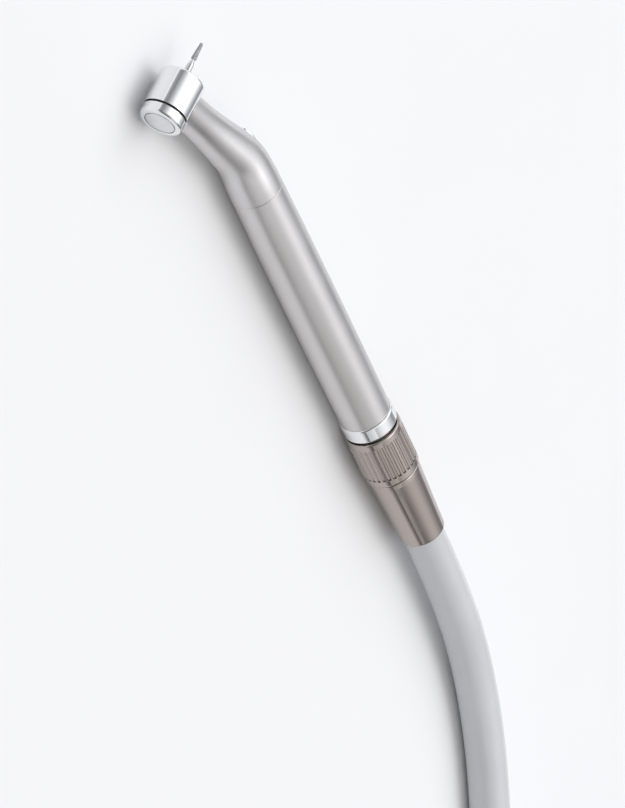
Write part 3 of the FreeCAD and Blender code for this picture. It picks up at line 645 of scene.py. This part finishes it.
# Hose
def hose_points():
    """The hose's control points: the laid route, then the hank's loops."""
    points = [Vector(point) for point in HOSE_ROUTE]
    centre_y = HANK_OUTER_Y - HANK_RADIUS
    step = math.pi / BEND_POINTS
    corner = HANK_RADIUS / math.cos(step / 2)
    lead = HANK_RADIUS * math.tan(step / 2)
    for turn in range(HANK_TURNS):
        height = HOSE_RADIUS + turn * LAYER
        far_x = HANK_FAR_X + turn * HANK_SHRINK
        near_x = HANK_NEAR_X - turn * HANK_SHRINK
        first = points[-1].x - RUN_LEAD
        last = far_x + lead
        for number in range(RUN_POINTS):
            x = first + (last - first) * number / (RUN_POINTS - 1)
            points.append(Vector((x, HANK_OUTER_Y, height)))
        for number in range(BEND_POINTS):
            angle = math.pi / 2 + step * (number + 0.5)
            x = far_x + corner * math.cos(angle)
            points.append(Vector((x, centre_y + corner * math.sin(angle), height)))
        for number in range(RUN_POINTS):
            x = last + (near_x - lead - last) * number / (RUN_POINTS - 1)
            points.append(Vector((x, centre_y - HANK_RADIUS, height)))
        for number in range(BEND_POINTS):
            angle = -math.pi / 2 + step * (number + 0.5)
            rise = LAYER * smooth((number + 0.5) / (BEND_POINTS - 1.5))
            x = near_x + corner * math.cos(angle)
            points.append(Vector((x, centre_y + corner * math.sin(angle), height + rise)))
        points.append(Vector((near_x - lead, HANK_OUTER_Y, height + LAYER)))
    return points


def make_hose(material):
    """The hose as one smooth line, from the terminal to the far ferrule."""
    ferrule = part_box("far_ferrule")
    middle = (ferrule[0] + ferrule[1]) / 2
    points = hose_points()
    points.append(Vector((ferrule[1].x + FERRULE_LEAD, middle.y, middle.z)))
    points.append(Vector((ferrule[0].x, middle.y, middle.z)))
    curve = bpy.data.curves.new("hose", "CURVE")
    curve.dimensions = "3D"
    spline = curve.splines.new("NURBS")
    spline.points.add(len(points) - 1)
    for control, point in zip(spline.points, points):
        control.co = (*point, 1.0)
    spline.order_u = 3
    spline.use_endpoint_u = True
    spline.resolution_u = HOSE_STEPS
    spline.use_smooth = True
    curve.bevel_depth = HOSE_RADIUS
    curve.bevel_resolution = HOSE_ROUNDNESS
    curve.use_fill_caps = True
    curve.materials.append(material)
    hose = linked("hose", curve)
    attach(hose, "handpiece")
    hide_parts("hose_tube", "hose_coil")


# Camera, table and lights
def make_camera():
    """The camera at the photograph's angle, far enough away to keep the handle's sides parallel."""
    right = PICTURE_UP.cross(TO_CAMERA).normalized()
    up = TO_CAMERA.cross(right)
    aim = right * AIM_RIGHT + up * AIM_UP
    data = bpy.data.cameras.new("camera")
    data.sensor_width = SENSOR_SIZE
    data.lens = SENSOR_SIZE * CAMERA_DISTANCE / PICTURE_HEIGHT
    data.clip_start, data.clip_end = CAMERA_CLIP
    camera = linked("camera", data)
    turn = Matrix((right, up, TO_CAMERA)).transposed().to_4x4()
    camera.matrix_world = Matrix.Translation(aim + TO_CAMERA * CAMERA_DISTANCE) @ turn
    bpy.context.scene.camera = camera


def make_table(material):
    """A large pale table top."""
    bm = bmesh.new()
    bmesh.ops.create_grid(bm, x_segments=1, y_segments=1, size=TABLE_REACH)
    table = mesh_piece("table", bm, material, flat=True)


def make_lights():
    """Large soft boxes: one overhead, a weaker key from the bur's side and a faint fill."""
    for name, place, width, height, power in LIGHTS:
        light = bpy.data.lights.new(name, "AREA")
        light.shape = "RECTANGLE"
        light.size = width
        light.size_y = height
        light.energy = power
        light.color = KEY_COLOUR if name == "key" else (1.0, 1.0, 1.0)
        lamp = linked(name, light)
        lamp.location = place
        lamp.rotation_mode = "QUATERNION"
        lamp.rotation_quaternion = Vector(place).to_track_quat("Z", "Y")


def make_room():
    """The sky's light: pale at the horizon, dark in a belt above it, bright overhead and on one side."""
    world = bpy.data.worlds.new("studio")
    bpy.context.scene.world = world
    world.use_nodes = True
    tree = world.node_tree
    place = tree.nodes.new("ShaderNodeTexCoord")
    parts = tree.nodes.new("ShaderNodeSeparateXYZ")
    tree.links.new(place.outputs["Generated"], parts.inputs["Vector"])
    ramp = tree.nodes.new("ShaderNodeValToRGB")
    elements = ramp.color_ramp.elements
    while len(elements) < len(SKY):
        elements.new(0.5)
    for element, (height, grey) in zip(elements, SKY):
        element.position = height
        element.color = (grey, grey, grey, 1)
    tree.links.new(parts.outputs["Z"], ramp.inputs["Fac"])
    side = tree.nodes.new("ShaderNodeMapRange")
    tint = tree.nodes.new("ShaderNodeMix")
    tint.data_type = "RGBA"
    share = tree.nodes.new("ShaderNodeMapRange")
    for node, low, high in ((side, *SKY_SIDES), (share, 0, 1)):
        for socket, value in zip(RANGE_SOCKETS, (-1, 1, low, high)):
            node.inputs[socket].default_value = value
        tree.links.new(parts.outputs["Y"], node.inputs["Value"])
    for number, colour in zip(MIX_COLOURS, SKY_TINTS):
        tint.inputs[number].default_value = (*colour, 1)
    tree.links.new(share.outputs["Result"], tint.inputs["Factor"])
    tinted = tree.nodes.new("ShaderNodeVectorMath")
    tinted.operation = "MULTIPLY"
    tree.links.new(ramp.outputs["Color"], tinted.inputs[0])
    tree.links.new(tint.outputs[MIX_RESULT], tinted.inputs[1])
    background = tree.nodes["Background"]
    tree.links.new(tinted.outputs["Vector"], background.inputs["Color"])
    tree.links.new(side.outputs["Result"], background.inputs["Strength"])


def dress():
    """Gives every CAD node that stays the material of its slot."""
    by_slot = {
        "polished_chrome": polished_chrome(),
        # Painted reflection: the tail's chrome is tinted dark and warm to stand in for dark surroundings it
        # reflects; dark_nickel is the model's slot name
        "dark_nickel": polished_chrome("chrome with painted dark reflection", (0.44, 0.39, 0.365), 0.11),
        "button_steel": turned_steel("turned steel", (0.70, 0.71, 0.725), 0.16, 0.00042),
        "satin_nickel": satin_nickel(),
        "bearing_steel": ground_steel(),
        "impeller_aluminium": machined_aluminium(),
        "cage_resin": cage_resin(),
        "black_rubber": black_rubber(),
        "tube_steel": drawn_tube(),
        "plated_brass": plated_brass(),
        "coupling_metal": polished_chrome("coupling plate", (0.80, 0.80, 0.81), 0.14),
    }
    for part in frame["record"]["subparts"]:
        material = by_slot.get(part["material_slot"])
        if material:
            data = NODES[part["node"]].data
            data.materials.clear()
            data.materials.append(material)


make_camera()
make_hose(hose_silicone())
make_straps(woven_strap())
make_grit(diamond_grit())
dress()
make_table(table_top())
make_lights()
make_room()
bpy.context.scene.view_settings.view_transform = "Standard"
